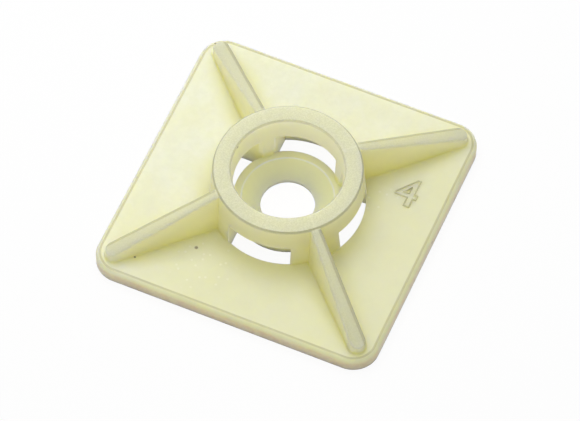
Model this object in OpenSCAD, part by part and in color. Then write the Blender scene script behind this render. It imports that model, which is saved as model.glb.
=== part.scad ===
// Cable tie mount: a square moulded base with a countersunk screw hole in the
// middle, a ring standing over it with four windows for the tie, and four
// ribs that run down from the ring to the corners. All of it is one moulding.
// The origin is on the screw hole's axis, in the plane of the underside.

/* [Base plate] */
// Length of each side of the square plate
plate_side = 28; // [26:0.5:40]
// Thickness of the plate
plate_t = 1.5; // [1.2:0.1:2.5]
// Radius of the plate's corners, seen from above
corner_r = 2.5; // [1.5:0.1:4]
// Rounding along the plate's top edge
top_edge_r = 0.45; // [0.1:0.05:0.7]
// Rounding along the plate's bottom edge
bottom_edge_r = 0.15; // [0.05:0.05:0.3]

/* [Tie ring] */
// Height of the ring's flat top above the underside
ring_top = 6.4; // [6:0.1:9]
// Outer diameter of the ring at its top
ring_d = 13.9; // [13:0.1:16]
// Thickness of the ring's wall at its top
ring_wall = 1.7; // [1.2:0.1:2.2]
// Mould draft of the ring's and the ribs' walls, in degrees
mould_draft = 4.4; // [1:0.1:5]
// Bevel of the two edges of the ring's top
ring_edge = 0.15; // [0.05:0.01:0.2]
// Radius of the hollow corner where the ring and the ribs stand on the plate
foot_r = 0.2; // [0.1:0.05:0.4]

/* [Tie windows] */
// Width of each window, a little more than the widest tie
window_w = 6.2; // [4:0.1:6.5]
// Height of each window above the plate
window_h = 2.5; // [1.5:0.1:3]
// How far the slot below each window reaches out past the ring's wall
slot_clear = 0.12; // [0.02:0.01:0.2]

/* [Screw hole] */
// Diameter of the screw hole
hole_d = 5.1; // [3.5:0.1:6]
// Diameter of the countersink at the plate's top
sink_d = 8.6; // [7:0.1:9]
// Height of the hole's straight part below the countersink
hole_land = 0.4; // [0.2:0.05:0.9]

/* [Corner ribs] */
// Thickness of each rib where it stands on the plate
rib_w = 1.7; // [1.5:0.05:2.2]
// Height of a rib's crest above the plate at its outer end
rib_end_h = 1.15; // [0.8:0.05:2]
// Rounding of the edges of a rib's crest
rib_edge_r = 0.2; // [0.1:0.02:0.3]
// Step from the ring's top down to the crest where the rib leaves the ring
rib_step = 0.12; // [0.1:0.02:0.4]
// Flat that is left between a rib's foot and the rounding of the plate's edge
rib_end_flat = 0.25; // [0.05:0.05:2]

/* [Hidden] */

// Smoothness of the large rounds, of the ribs and feet, and of the plate's edges
large_fn = 96;
small_fn = 48;
edge_fn = 24;
// How far a cut runs past the faces that it opens
past = 1;
// How deep a piece sinks into what carries it
sink = 0.4;
// How deep a rounding's arc cuts into the two faces that it joins
bite = 0.01;
// Share of the crest's step that a rib keeps where its root lies in the ring
root_step = 0.25;

// Ring and window, measured from the ring's axis
ring_r = ring_d / 2;
bore_r = ring_r - ring_wall;
wall_lean = tan(mould_draft);
window_top = plate_t + window_h;
window_lean = wall_lean * (ring_top - window_top);
slot_out_r = ring_r + window_lean + slot_clear;
slot_in_r = bore_r - window_lean;
// Centre of a foot's arc, from the wall that the foot stands against
foot_x = foot_r * (sqrt(1 + wall_lean * wall_lean) - wall_lean) - bite;

// Ribs: a leaning wall on each side, a flat sloping crest and a round end
corner_reach = plate_side / sqrt(2) - corner_r * (sqrt(2) - 1);
foot_reach = foot_x - sqrt(2 * foot_r * bite - bite * bite);
rib_tip = corner_reach - top_edge_r - rib_end_flat - foot_reach - rib_w / 2;
rib_slope = (ring_top - rib_step - plate_t - rib_end_h) / (rib_tip - ring_r);
rib_fall = atan(rib_slope);
// The root lies in the ring's wall, where the crest is still below the top
rib_root = ring_r - (1 - root_step) * rib_step / rib_slope;
// Half the crest's width at the rib's end, and how it narrows up the slope
crest_half = rib_w / 2 - wall_lean * rib_end_h;
crest_taper = atan(wall_lean * sin(rib_fall));
// The crest's round end lies ahead of the rib's end, over the leaning front
crest_drop = rib_edge_r * (sin(rib_fall) + wall_lean * cos(rib_fall));
crest_front = (crest_half + crest_drop) / (cos(rib_fall) - wall_lean * sin(rib_fall));

// Half section of the plate's rim, w wide from its inner side to its edge
module rim_section(w) {
    translate([0, bottom_edge_r])
        square([w, plate_t - top_edge_r - bottom_edge_r]);
    square([w - bottom_edge_r, bottom_edge_r]);
    translate([w - bottom_edge_r, bottom_edge_r])
        circle(r = bottom_edge_r, $fn = edge_fn);
    translate([0, plate_t - top_edge_r])
        square([w - top_edge_r, top_edge_r]);
    translate([w - top_edge_r, plate_t - top_edge_r])
        circle(r = top_edge_r, $fn = edge_fn);
}

module plate() {
    flat = plate_side - 2 * corner_r;
    translate([-flat / 2, -flat / 2, 0])
        cube([flat, flat, plate_t]);
    for (side = [0:3])
        rotate([0, 0, 90 * side]) {
            translate([flat / 2, 0, 0])
                rotate([90, 0, 0])
                    linear_extrude(height = flat, center = true)
                        rim_section(corner_r);
            translate([flat / 2, flat / 2, 0])
                rotate_extrude(angle = 90, $fn = large_fn)
                    rim_section(corner_r);
        }
}

// Section of a foot that fills the corner between the plate and a leaning
// wall, whose face stands at x = 0 on the plate
module foot_section() {
    foot_y = foot_r - bite;
    difference() {
        translate([-sink, -sink])
            square([foot_x + sink, foot_y + sink]);
        translate([foot_x, foot_y])
            circle(r = foot_r, $fn = small_fn);
    }
}

// Section of the ring's wall, leaning by the draft on both sides, and its feet
module ring_section() {
    foot_z = plate_t - sink;
    foot_lean = wall_lean * (ring_top - foot_z);
    edge_z = ring_top - ring_edge;
    edge_lean = wall_lean * ring_edge;
    plate_lean = wall_lean * (ring_top - plate_t);
    translate([ring_r + plate_lean, plate_t])
        foot_section();
    translate([bore_r - plate_lean, plate_t])
        mirror([1, 0])
            foot_section();
    polygon([
        [bore_r - foot_lean, foot_z],
        [ring_r + foot_lean, foot_z],
        [ring_r + edge_lean, edge_z],
        [ring_r - ring_edge, ring_top],
        [bore_r + ring_edge, ring_top],
        [bore_r - edge_lean, edge_z]
    ]);
}

module ring() {
    rotate_extrude($fn = large_fn)
        ring_section();
}

// Foot of the rib along +X, down both of its sides and round its outer end
module rib_foot() {
    for (side = [0:1])
        mirror([0, side, 0])
            translate([rib_root, rib_w / 2, plate_t])
                rotate([90, 0, 90])
                    linear_extrude(height = rib_tip - rib_root)
                        foot_section();
    translate([rib_tip, 0, plate_t])
        rotate_extrude($fn = large_fn)
            translate([rib_w / 2, 0])
                foot_section();
}

// Walls of the rib along +X before its crest is cut: they lean by the draft
// and end in a cone
module rib_walls() {
    foot_z = plate_t - sink;
    foot_half = rib_w / 2 + wall_lean * sink;
    top_half = rib_w / 2 - wall_lean * (ring_top - plate_t);
    translate([rib_root, 0, 0])
        rotate([90, 0, 90])
            linear_extrude(height = rib_tip - rib_root)
                polygon([
                    [-foot_half, foot_z],
                    [foot_half, foot_z],
                    [top_half, ring_top],
                    [-top_half, ring_top]
                ]);
    translate([rib_tip, 0, foot_z])
        cylinder(r1 = foot_half, r2 = top_half, h = ring_top - foot_z, $fn = small_fn);
}

// Section of the crest, from the given width on one side of its middle to
// its rounded edge on the other
module crest_section(w) {
    edge_x = crest_half - rib_edge_r + 2 * bite;
    translate([-w, -rib_edge_r])
        square([w + edge_x, rib_edge_r]);
    translate([edge_x, -rib_edge_r])
        circle(r = rib_edge_r, $fn = small_fn);
}

// What the rib along +X keeps of its walls: all that lies well below the
// crest, and under the crest a flat top with rounded edges
module rib_crest() {
    run = 2 * (rib_tip - rib_root);
    translate([rib_tip, 0, plate_t + rib_end_h])
        rotate([0, rib_fall, 0]) {
            translate([-run, -rib_w, -run - rib_edge_r])
                cube([2 * run, 2 * rib_w, run]);
            translate([crest_front - crest_half, 0, 0]) {
                rotate_extrude($fn = large_fn)
                    crest_section(0);
                intersection_for (side = [0:1])
                    mirror([0, side, 0])
                        rotate([90, 0, -90 - crest_taper])
                            linear_extrude(height = run)
                                crest_section(rib_w);
            }
        }
}

module rib() {
    intersection() {
        rib_walls();
        rib_crest();
    }
    rib_foot();
}

// Opening for the tie on the +X side: a window through the ring's wall and
// the slot below it, where the mould's core comes up through the plate
module tie_opening() {
    translate([0, -window_w / 2, plate_t])
        cube([slot_out_r + past, window_w, window_h]);
    intersection() {
        difference() {
            translate([0, 0, -past])
                cylinder(r = slot_out_r, h = plate_t + 2 * past, $fn = large_fn);
            translate([0, 0, -2 * past])
                cylinder(r = slot_in_r, h = plate_t + 4 * past, $fn = large_fn);
        }
        translate([0, -window_w / 2, -past])
            cube([slot_out_r + past, window_w, plate_t + 2 * past]);
    }
}

module screw_hole() {
    translate([0, 0, -past])
        cylinder(d = hole_d, h = plate_t + 2 * past, $fn = large_fn);
    slope = (sink_d - hole_d) / (plate_t - hole_land);
    translate([0, 0, hole_land])
        cylinder(d1 = hole_d, d2 = sink_d + slope * sink, h = plate_t - hole_land + sink, $fn = large_fn);
}

module tie_mount() {
    color([0.93, 0.92, 0.80])
        difference() {
            union() {
                plate();
                ring();
                for (corner = [0:3])
                    rotate([0, 0, 45 + 90 * corner])
                        rib();
            }
            for (side = [0:3])
                rotate([0, 0, 90 * side])
                    tie_opening();
            screw_hole();
        }
}

tie_mount();
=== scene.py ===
import math
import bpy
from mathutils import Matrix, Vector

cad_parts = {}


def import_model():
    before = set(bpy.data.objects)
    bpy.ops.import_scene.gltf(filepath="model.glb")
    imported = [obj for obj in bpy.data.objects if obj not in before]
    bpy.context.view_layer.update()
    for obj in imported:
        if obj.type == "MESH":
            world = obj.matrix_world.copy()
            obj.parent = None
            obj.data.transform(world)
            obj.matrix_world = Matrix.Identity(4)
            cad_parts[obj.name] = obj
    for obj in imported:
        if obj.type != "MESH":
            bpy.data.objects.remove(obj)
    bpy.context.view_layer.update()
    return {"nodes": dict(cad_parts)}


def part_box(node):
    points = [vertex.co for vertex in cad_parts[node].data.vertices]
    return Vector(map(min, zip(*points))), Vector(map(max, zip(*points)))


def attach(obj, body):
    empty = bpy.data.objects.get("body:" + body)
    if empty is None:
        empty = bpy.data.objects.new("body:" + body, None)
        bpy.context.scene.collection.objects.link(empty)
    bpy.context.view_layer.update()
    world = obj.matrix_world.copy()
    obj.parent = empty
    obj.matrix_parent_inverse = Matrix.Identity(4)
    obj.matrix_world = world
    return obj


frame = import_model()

from types import SimpleNamespace

import bmesh
import bpy
from mathutils import Matrix, Quaternion, Vector

MM = 0.001
LOW, HIGH = (Vector(corner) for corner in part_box("tie_mount"))
MOUNT = frame["nodes"]["tie_mount"]

# Sizes of the moulding in mm. Its half width and height come from the frame,
# and the others are typed as the part's source has them: change them with it.
PLATE_HALF, RING_TOP = round(HIGH.x / MM, 3), round(HIGH.z / MM, 3)
PLATE_T, CORNER_R = 1.5, 2.5
RING_R, BORE_R, SINK_R = 6.95, 5.25, 4.3
# Radius at which the ring stands on the plate, and half a rib's width there
RING_FOOT, RIB_FOOT = 7.33, 0.85
# A rib's crest: its height at the ring's wall and its fall per mm outwards
CREST_Z, CREST_SLOPE = 6.28, 0.357
# Half the crest's width, drawn in to the axis, and its gain per mm outwards
CREST_HALF, CREST_WIDENING = 0.275, 0.0275

# Specks of burnt dust, and patches of pale motes with painted glints: place and radius in mm
SPECKS = (
    ((-5.5, -8.4, PLATE_T), 0.22),
    ((-10.25, -11.6, PLATE_T), 0.14),
    ((-9.3, 8.5, PLATE_T), 0.14),
    ((-13.1, 12.95, PLATE_T), 0.16),
    ((14.0, 1.15, 0.9), 0.18),
    ((-5.22, 0.42, 6.15), 0.16),
)
MOTES_AND_GLINTS = (((-4.2, -9.8, PLATE_T), 3.6), ((8.0, 3.2, PLATE_T), 2.0))

# The cavity number in mm: its height and middle, then half its line's width and
# how far out of the numeral's outline the line is drawn
MARK, MARK_HEIGHT, MARK_MIDDLE = "4", 2.9, (9.95, 4.95, PLATE_T + 0.03)
MARK_LINE, MARK_SPREAD = 0.07, 0.05

# The floor lies just below the part, so that the two faces don't share a plane
FLOOR_HALF, FLOOR_DROP, FLOOR_GLOW = 1.5, 0.02 * MM, 0.93

# Azimuth and elevation in degrees, distance and width in metres, and watts
LAMPS = {
    "softbox": (225, 78, 0.12, 0.12, 0.089),
    "key": (225, 62, 0.085, 0.10, 0.024),
    "fill": (8, 20, 0.40, 0.30, 0.15),
}
WORLD_STRENGTH = 0.30


def colour(hex_code):
    """Turns an sRGB hex colour to the linear values that a shader takes."""
    parts = [int(hex_code[i:i + 2], 16) / 255 for i in (1, 3, 5)]
    return [c / 12.92 if c <= 0.04045 else ((c + 0.055) / 1.055) ** 2.4 for c in parts] + [1.0]


def node(tree, kind, *inputs, named=None, **settings):
    """Adds one shader node with its settings. Its inputs come in their order on
    the node, or by name: a number, a vector, a hex colour, or what feeds it."""
    made = tree.nodes.new("ShaderNode" + kind)
    for name, value in settings.items():
        setattr(made, name, value)
    filled = list(zip((socket for socket in made.inputs if socket.enabled), inputs))
    filled += [(made.inputs[name], value) for name, value in (named or {}).items()]
    for socket, source in filled:
        if isinstance(source, bpy.types.Node):
            source = next(output for output in source.outputs if output.enabled)
        if isinstance(source, bpy.types.NodeSocket):
            tree.links.new(source, socket)
        else:
            socket.default_value = colour(source) if isinstance(source, str) else source
    return made


def material(name):
    made = bpy.data.materials.new(name)
    made.use_nodes = True
    made.node_tree.nodes.clear()
    return made, made.node_tree


def zone(tree, *edges):
    """Gives how much of a zone each place has. An edge is a value and where the
    zone starts and is full, with the shares there if they aren't 0 and 1."""
    share = None
    for edge in edges:
        step = node(tree, "MapRange", *edge, interpolation_type="SMOOTHSTEP")
        share = step if share is None else node(tree, "Math", share, step, operation="MULTIPLY")
    return share


def coat(tree, body, strength, tint, *edges):
    """Lays a colour over the body's colour within a zone."""
    share = node(tree, "Math", zone(tree, *edges), strength, operation="MULTIPLY")
    return node(tree, "Mix", share, body, tint, data_type="RGBA")


def spots(tree, at, places, core):
    """Gives the share of round spots, full within a core of their radius."""
    share = None
    for middle, radius in places:
        away = node(tree, "VectorMath", at.place, middle, operation="DISTANCE")
        spot = zone(tree, (away, radius, core * radius))
        share = spot if share is None else node(tree, "Math", share, spot, operation="MAXIMUM")
    return share


def distances(tree):
    """Works out, in mm, the distances that the finishes are placed by."""
    at = SimpleNamespace()
    here = node(tree, "TexCoord").outputs["Object"]
    at.place = node(tree, "VectorMath", here, 1 / MM, operation="SCALE")
    at.x, at.y, at.z = node(tree, "SeparateXYZ", at.place).outputs

    # Out from the screw's axis
    flat = node(tree, "CombineXYZ", at.x, at.y)
    at.out = node(tree, "VectorMath", flat, operation="LENGTH")

    # Across from the nearest rib's middle, and the same with + towards +Y
    aside = [node(tree, "Math", axis, operation="ABSOLUTE") for axis in (at.y, at.x)]
    aside = node(tree, "Math", *aside, operation="SUBTRACT")
    aside = node(tree, "Math", aside, math.sqrt(0.5), operation="MULTIPLY")
    facing = node(tree, "Math", at.y, operation="SIGN")
    at.signed = node(tree, "Math", aside, facing, operation="MULTIPLY")
    at.across = node(tree, "Math", at.signed, operation="ABSOLUTE")

    # Inwards from the plate's rounded outline
    straight = PLATE_HALF - CORNER_R
    corner = node(tree, "VectorMath", flat, operation="ABSOLUTE")
    corner = node(tree, "VectorMath", corner, (straight, straight, 0), operation="SUBTRACT")
    corner = node(tree, "VectorMath", corner, (0, 0, 0), operation="MAXIMUM")
    corner = node(tree, "VectorMath", corner, operation="LENGTH")
    at.inward = node(tree, "Math", CORNER_R, corner, operation="SUBTRACT")

    # Down from the ring's flat top or a rib's crest
    fall = node(tree, "Math", at.out, CREST_SLOPE, operation="MULTIPLY")
    crest = node(tree, "Math", CREST_Z + CREST_SLOPE * RING_R, fall, operation="SUBTRACT")
    crest = node(tree, "Math", crest, RING_TOP, operation="MINIMUM")
    at.depth = node(tree, "Math", crest, at.z, operation="SUBTRACT")

    # Outwards from a crest's edge, on both sides and on the side towards +Y
    half = node(tree, "Math", at.out, CREST_WIDENING, operation="MULTIPLY")
    half = node(tree, "Math", half, CREST_HALF, operation="ADD")
    at.past_crest = node(tree, "Math", at.across, half, operation="SUBTRACT")
    at.past_crest_y = node(tree, "Math", at.signed, half, operation="SUBTRACT")

    # The zone's edge that leaves out the plate
    at.raised = (at.z, PLATE_T + 0.05, PLATE_T + 0.35)
    return at


def edge_shade_lines(tree, at):
    """Painted shade: thin dark lines where the flat tops turn over into the walls,
    along the ribs and round both edges of the ring, strongest on the ribs' sides towards +Y."""
    strong = zone(tree, (at.past_crest_y, -0.36, -0.2))
    weak = zone(tree, (at.past_crest, -0.2, -0.05, 0.0, 0.2))
    rib = node(tree, "Math", strong, weak, operation="ADD", use_clamp=True)
    beyond_ring = zone(tree, (at.out, 7.0, 7.15), (at.depth, 0.5, 0.2))
    rib = node(tree, "Math", rib, beyond_ring, operation="MULTIPLY")

    outer = zone(
        tree, (at.out, RING_R - 0.18, RING_R - 0.1), (at.out, RING_R + 0.03, RING_R - 0.03)
    )
    inner = zone(tree, (at.out, BORE_R + 0.16, BORE_R + 0.08, 0.0, 0.6))
    ring = node(tree, "Math", outer, inner, operation="ADD")
    ring = node(tree, "Math", ring, zone(tree, (at.depth, 0.3, 0.16)), operation="MULTIPLY")

    both = node(tree, "Math", rib, ring, operation="ADD", use_clamp=True)
    return node(tree, "Math", both, zone(tree, at.raised), operation="MULTIPLY")


def cream_with_painted_light(tree, at, mottle, fine):
    """The moulding's own colour, yellower where light comes through more of it,
    with painted light and shade laid over it.
    """
    # Painted light falling off across the plate: a little darker and yellower from the corner
    # towards the lamps to the opposite one
    aslant = node(tree, "Math", at.x, at.y, operation="SUBTRACT")
    slant = zone(tree, (aslant, -PLATE_HALF, PLATE_HALF))
    darker = node(tree, "Mix", slant, "#F8F4CA", "#E9E6B3", data_type="RGBA")
    paler = node(tree, "Mix", slant, "#FBF7D2", "#ECE9BB", data_type="RGBA")
    flow = zone(tree, (mottle, 0.32, 0.68))
    body = node(tree, "Mix", flow, darker, paler, data_type="RGBA")
    body = coat(tree, body, 1.0, "#E9E5B8", (fine, 0.30, 0.70, 0.0, 0.25))

    # Yellow painted shade beside the walls and low on them
    from_rib = node(tree, "Math", at.across, RIB_FOOT, operation="SUBTRACT")
    from_ring = node(tree, "Math", at.out, RING_FOOT, operation="SUBTRACT")
    from_wall = node(tree, "Math", from_rib, from_ring, operation="MINIMUM")
    body = coat(
        tree, body, 0.8, "#F2EDAC",
        (from_wall, 2.2, 0.0),
        (at.out, RING_FOOT - 0.1, RING_FOOT),
        (at.inward, 0.6, 2.6),
        (at.z, 3.2, 1.6, 0.2, 1.0),
    )

    # Painted light on the floor of the well inside the ring, and a bright painted highlight along
    # the edge of the countersink
    body = coat(tree, body, 0.9, "#FFF8B6", (at.out, 5.9, 5.5), (at.z, 2.6, 1.6))
    body = coat(
        tree, body, 0.8, "#FFFCE2",
        (at.out, SINK_R - 0.12, SINK_R), (at.out, SINK_R + 0.14, SINK_R + 0.04),
    )

    # Painted light, greyer high on the walls and paler inside the ring, where the walls light one
    # another
    body = coat(tree, body, 0.85, "#E4E2C8", (at.depth, 3.2, 0.2), at.raised)
    return coat(
        tree, body, 0.9, "#FAF8E4",
        (at.out, BORE_R + 0.12, BORE_R - 0.02), (at.z, 1.7, 2.4),
    )


def grained_tops(tree, at, grain):
    """The ring's top and the crests: grained, greyer, and palest in the middle."""
    speckle = zone(tree, (grain, 0.36, 0.68))
    tops = node(tree, "Mix", speckle, "#C9CAAC", "#D6D7BC", data_type="RGBA")
    tops = coat(tree, tops, 1.0, "#E2E3CB", (at.past_crest, -0.25, -0.5, 0.0, 0.35))
    return coat(tree, tops, 1.0, "#BAB9A2", (at.out, 7.0, 7.4, 0.0, 0.35))


def plate_side(tree, at, body, fine):
    """The plate's edge: a fine dark line of painted shade where its top turns
    over, and a side that turns tan in streaks lower down and is darkest along
    the underside, most towards +X."""
    # Painted shade along the rounding of the top edge
    body = coat(
        tree, body, 0.6, "#A29D6C",
        (at.inward, 0.56, 0.46), (at.inward, 0.26, 0.36), (at.z, 1.2, 1.35),
    )
    side = (at.inward, 0.3, 0.1)
    body = coat(tree, body, 1.0, "#E2C3A2", side, (fine, 0.25, 0.75, 0.5, 0.9), (at.z, 1.4, 1.0))
    return coat(tree, body, 1.0, "#86704A", side, (at.z, 0.34, 0.1), (at.x, 13.5, 13.9, 0.35, 0.85))


def natural_nylon(name, soak, shade=0.0):
    """Polyamide 6.6, unfilled and undyed, injection moulded: cream, waxy and a
    little translucent, so that light which soaks in comes back yellower. The
    flat tops of the ring and the ribs are spark-eroded in the mould, so they
    are finely grained; they are also coloured greyer, and thin dark lines of
    painted shade run along their edges. Painted light and shade lie in the
    colour elsewhere too. Soak is how much of the light goes in, and shade how
    far the colour is darkened as painted shade."""
    made, tree = material(name)
    at = distances(tree)

    # Flow of the melt as soft mottling 4 to 5 mm across, the grain of the eroded
    # tops at 0.14 mm, drawn about twice as coarse as it is so that it shows, and
    # the unevenness of the rest at 0.6 mm
    mottle, grain, fine = (
        node(tree, "TexNoise", named={
            "Vector": at.place, "Scale": scale, "Detail": detail, "Roughness": rough,
        })
        for scale, detail, rough in ((0.22, 3.0, 0.55), (7.0, 2.0, 0.6), (1.6, 4.0, 0.65))
    )

    top_edges = (at.depth, 0.22, 0.02), at.raised
    body = cream_with_painted_light(tree, at, mottle, fine)
    body = coat(tree, body, 0.9, grained_tops(tree, at, grain), *top_edges)
    # Painted shade: the thin dark lines along the edges of the tops
    lines = node(tree, "Math", edge_shade_lines(tree, at), 0.65, operation="MULTIPLY")
    body = node(tree, "Mix", lines, body, "#98967A", data_type="RGBA")
    body = plate_side(tree, at, body, fine)
    # Painted shade that darkens the whole colour, used for the cavity number's line
    if shade:
        body = node(tree, "Mix", shade, body, "#9C9662", data_type="RGBA")

    # Dark specks, and pinholes and motes about 1.1 mm apart, pale as painted glints where they
    # catch the light
    dust = node(tree, "Math", spots(tree, at, SPECKS, 0.4), 0.8, operation="MULTIPLY")
    body = node(tree, "Mix", dust, body, "#6F6446", data_type="RGBA")
    cells = node(tree, "TexVoronoi", voronoi_dimensions="2D", named={
        "Vector": at.place, "Scale": 0.9, "Randomness": 1.0,
    })
    patch = node(tree, "Math", spots(tree, at, MOTES_AND_GLINTS, 0.6), 0.45, operation="MULTIPLY")
    motes_and_glints = node(tree, "Math", zone(tree, (cells, 0.14, 0.07)), patch, operation="MULTIPLY")
    body = node(tree, "Mix", motes_and_glints, body, "#FFFBDC", data_type="RGBA")

    # The tops are rougher to the touch and duller than the rest
    top = zone(tree, *top_edges)
    eroded = node(tree, "Math", top, 0.5, operation="MULTIPLY")
    eroded = node(tree, "Math", grain, eroded, operation="MULTIPLY")
    waxy = node(tree, "Math", fine, 0.25, operation="MULTIPLY")
    relief = node(tree, "Math", eroded, waxy, operation="ADD")
    bump = node(tree, "Bump", named={"Height": relief, "Strength": 0.35, "Distance": 0.03 * MM})
    duller = node(tree, "Math", top, 0.18, operation="MULTIPLY")
    satin = zone(tree, (fine, 0.3, 0.7, 0.30, 0.42))
    shine = node(tree, "Math", satin, duller, operation="ADD")

    shader = node(tree, "BsdfPrincipled", named={
        "Base Color": body,
        "Roughness": shine,
        "Normal": bump,
        "IOR": 1.53,
        "Subsurface Weight": soak,
        "Subsurface Scale": 0.004,
        "Subsurface Radius": (1.0, 0.92, 0.35),
    })
    node(tree, "OutputMaterial", shader)
    return made


def dress_mount():
    MOUNT.data.materials.clear()
    MOUNT.data.materials.append(natural_nylon("natural_nylon", 1.0))


def cavity_mark():
    """The mould's cavity number, a raised outline on the plate beside the ring."""
    text = bpy.data.curves.new("cavity_mark", "FONT")
    text.body = MARK
    text.size = 1.0
    text.fill_mode = "NONE"
    text.resolution_u = 6
    holder = bpy.data.objects.new("cavity_mark_text", text)
    bpy.context.scene.collection.objects.link(holder)

    # Measured as a plain outline first, then drawn at its size as a thin tube
    bpy.context.view_layer.update()
    outline = bpy.data.meshes.new_from_object(holder)
    low, high = (Vector(f(c) for c in zip(*(v.co for v in outline.vertices))) for f in (min, max))
    bpy.data.meshes.remove(outline)
    scale = MARK_HEIGHT / (high.y - low.y)
    text.size = scale * MM
    text.bevel_depth = MARK_LINE * MM
    text.offset = MARK_SPREAD * MM
    text.bevel_resolution = 2
    bpy.context.view_layer.update()
    mesh = bpy.data.meshes.new_from_object(holder)
    bpy.data.objects.remove(holder)
    middle = (low + high) / 2 * scale * MM
    mesh.transform(Matrix.Translation(Vector(MARK_MIDDLE) * MM - middle))
    mesh.name = "cavity_mark"

    bm = bmesh.new()
    bm.from_mesh(mesh)
    bmesh.ops.remove_doubles(bm, verts=bm.verts, dist=0.001 * MM)
    bmesh.ops.recalc_face_normals(bm, faces=bm.faces)
    for face in bm.faces:
        face.smooth = True
    bm.to_mesh(mesh)
    bm.free()

    # The line is too thin for light to soak into, so it takes the skin alone
    mesh.materials.clear()
    # Its colour is darkened with painted shade as well
    mesh.materials.append(natural_nylon("natural_nylon_line", 0.0, 0.55))
    piece = bpy.data.objects.new("cavity_mark", mesh)
    bpy.context.scene.collection.objects.link(piece)
    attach(piece, "root")


def floor():
    """Pale paper that takes the part's shadow and is seen as near white."""
    made, tree = material("studio_floor")
    paper = node(tree, "BsdfDiffuse", "#F4F4F4")
    glow = node(tree, "Emission", "#FFFFFF", 1.0)
    rays = node(tree, "LightPath").outputs
    seen = node(tree, "Math", rays["Is Camera Ray"], rays["Is Glossy Ray"], operation="ADD")
    seen = node(tree, "Math", seen, rays["Is Transmission Ray"], operation="ADD", use_clamp=True)
    seen = node(tree, "Math", seen, FLOOR_GLOW, operation="MULTIPLY")
    node(tree, "OutputMaterial", node(tree, "MixShader", seen, paper, glow))

    bm = bmesh.new()
    bmesh.ops.create_grid(bm, x_segments=1, y_segments=1, size=FLOOR_HALF)
    bmesh.ops.translate(bm, verts=bm.verts, vec=(0, 0, LOW.z - FLOOR_DROP))
    mesh = bpy.data.meshes.new("studio_floor")
    bm.to_mesh(mesh)
    bm.free()
    mesh.materials.append(made)
    piece = bpy.data.objects.new("studio_floor", mesh)
    bpy.context.scene.collection.objects.link(piece)


def direction(azimuth, elevation):
    """The way from the part to something that is seen from it at these degrees."""
    a, e = math.radians(azimuth), math.radians(elevation)
    return Vector((math.sin(a) * math.cos(e), -math.cos(a) * math.cos(e), math.sin(e)))


def lamp(name, azimuth, elevation, distance, width, power):
    light = bpy.data.lights.new(name, "AREA")
    light.shape = "SQUARE"
    light.size = width
    light.energy = power
    piece = bpy.data.objects.new(name, light)
    back = direction(azimuth, elevation)
    piece.location = back * distance
    piece.rotation_euler = back.to_track_quat("Z", "Y").to_euler()
    bpy.context.scene.collection.objects.link(piece)


def world():
    made = bpy.data.worlds.new("studio")
    bpy.context.scene.world = made
    made.use_nodes = True
    tree = made.node_tree
    tree.nodes.clear()
    node(tree, "OutputWorld", node(tree, "Background", "#FFFFFF", WORLD_STRENGTH))


def camera():
    azimuth, elevation, roll = 23.16, 58.1, 0.43
    distance = 434.8 * MM
    data = bpy.data.cameras.new("camera")
    data.lens = 290.9
    data.sensor_width = 36
    data.clip_start, data.clip_end = 0.01, 10
    piece = bpy.data.objects.new("camera", data)
    back = direction(azimuth, elevation)
    turn = back.to_track_quat("Z", "Y") @ Quaternion((0, 0, 1), math.radians(roll))
    # How far aside of the screw hole the camera's axis passes
    aside = turn @ Vector((0.215, -0.455, 0)) * MM
    piece.location = aside + back * distance
    piece.rotation_mode = "QUATERNION"
    piece.rotation_quaternion = turn
    bpy.context.scene.collection.objects.link(piece)
    bpy.context.scene.camera = piece


dress_mount()
cavity_mark()
floor()
world()
for name, settings in LAMPS.items():
    lamp(name, *settings)
camera()

scene = bpy.context.scene
scene.view_settings.view_transform = "Standard"
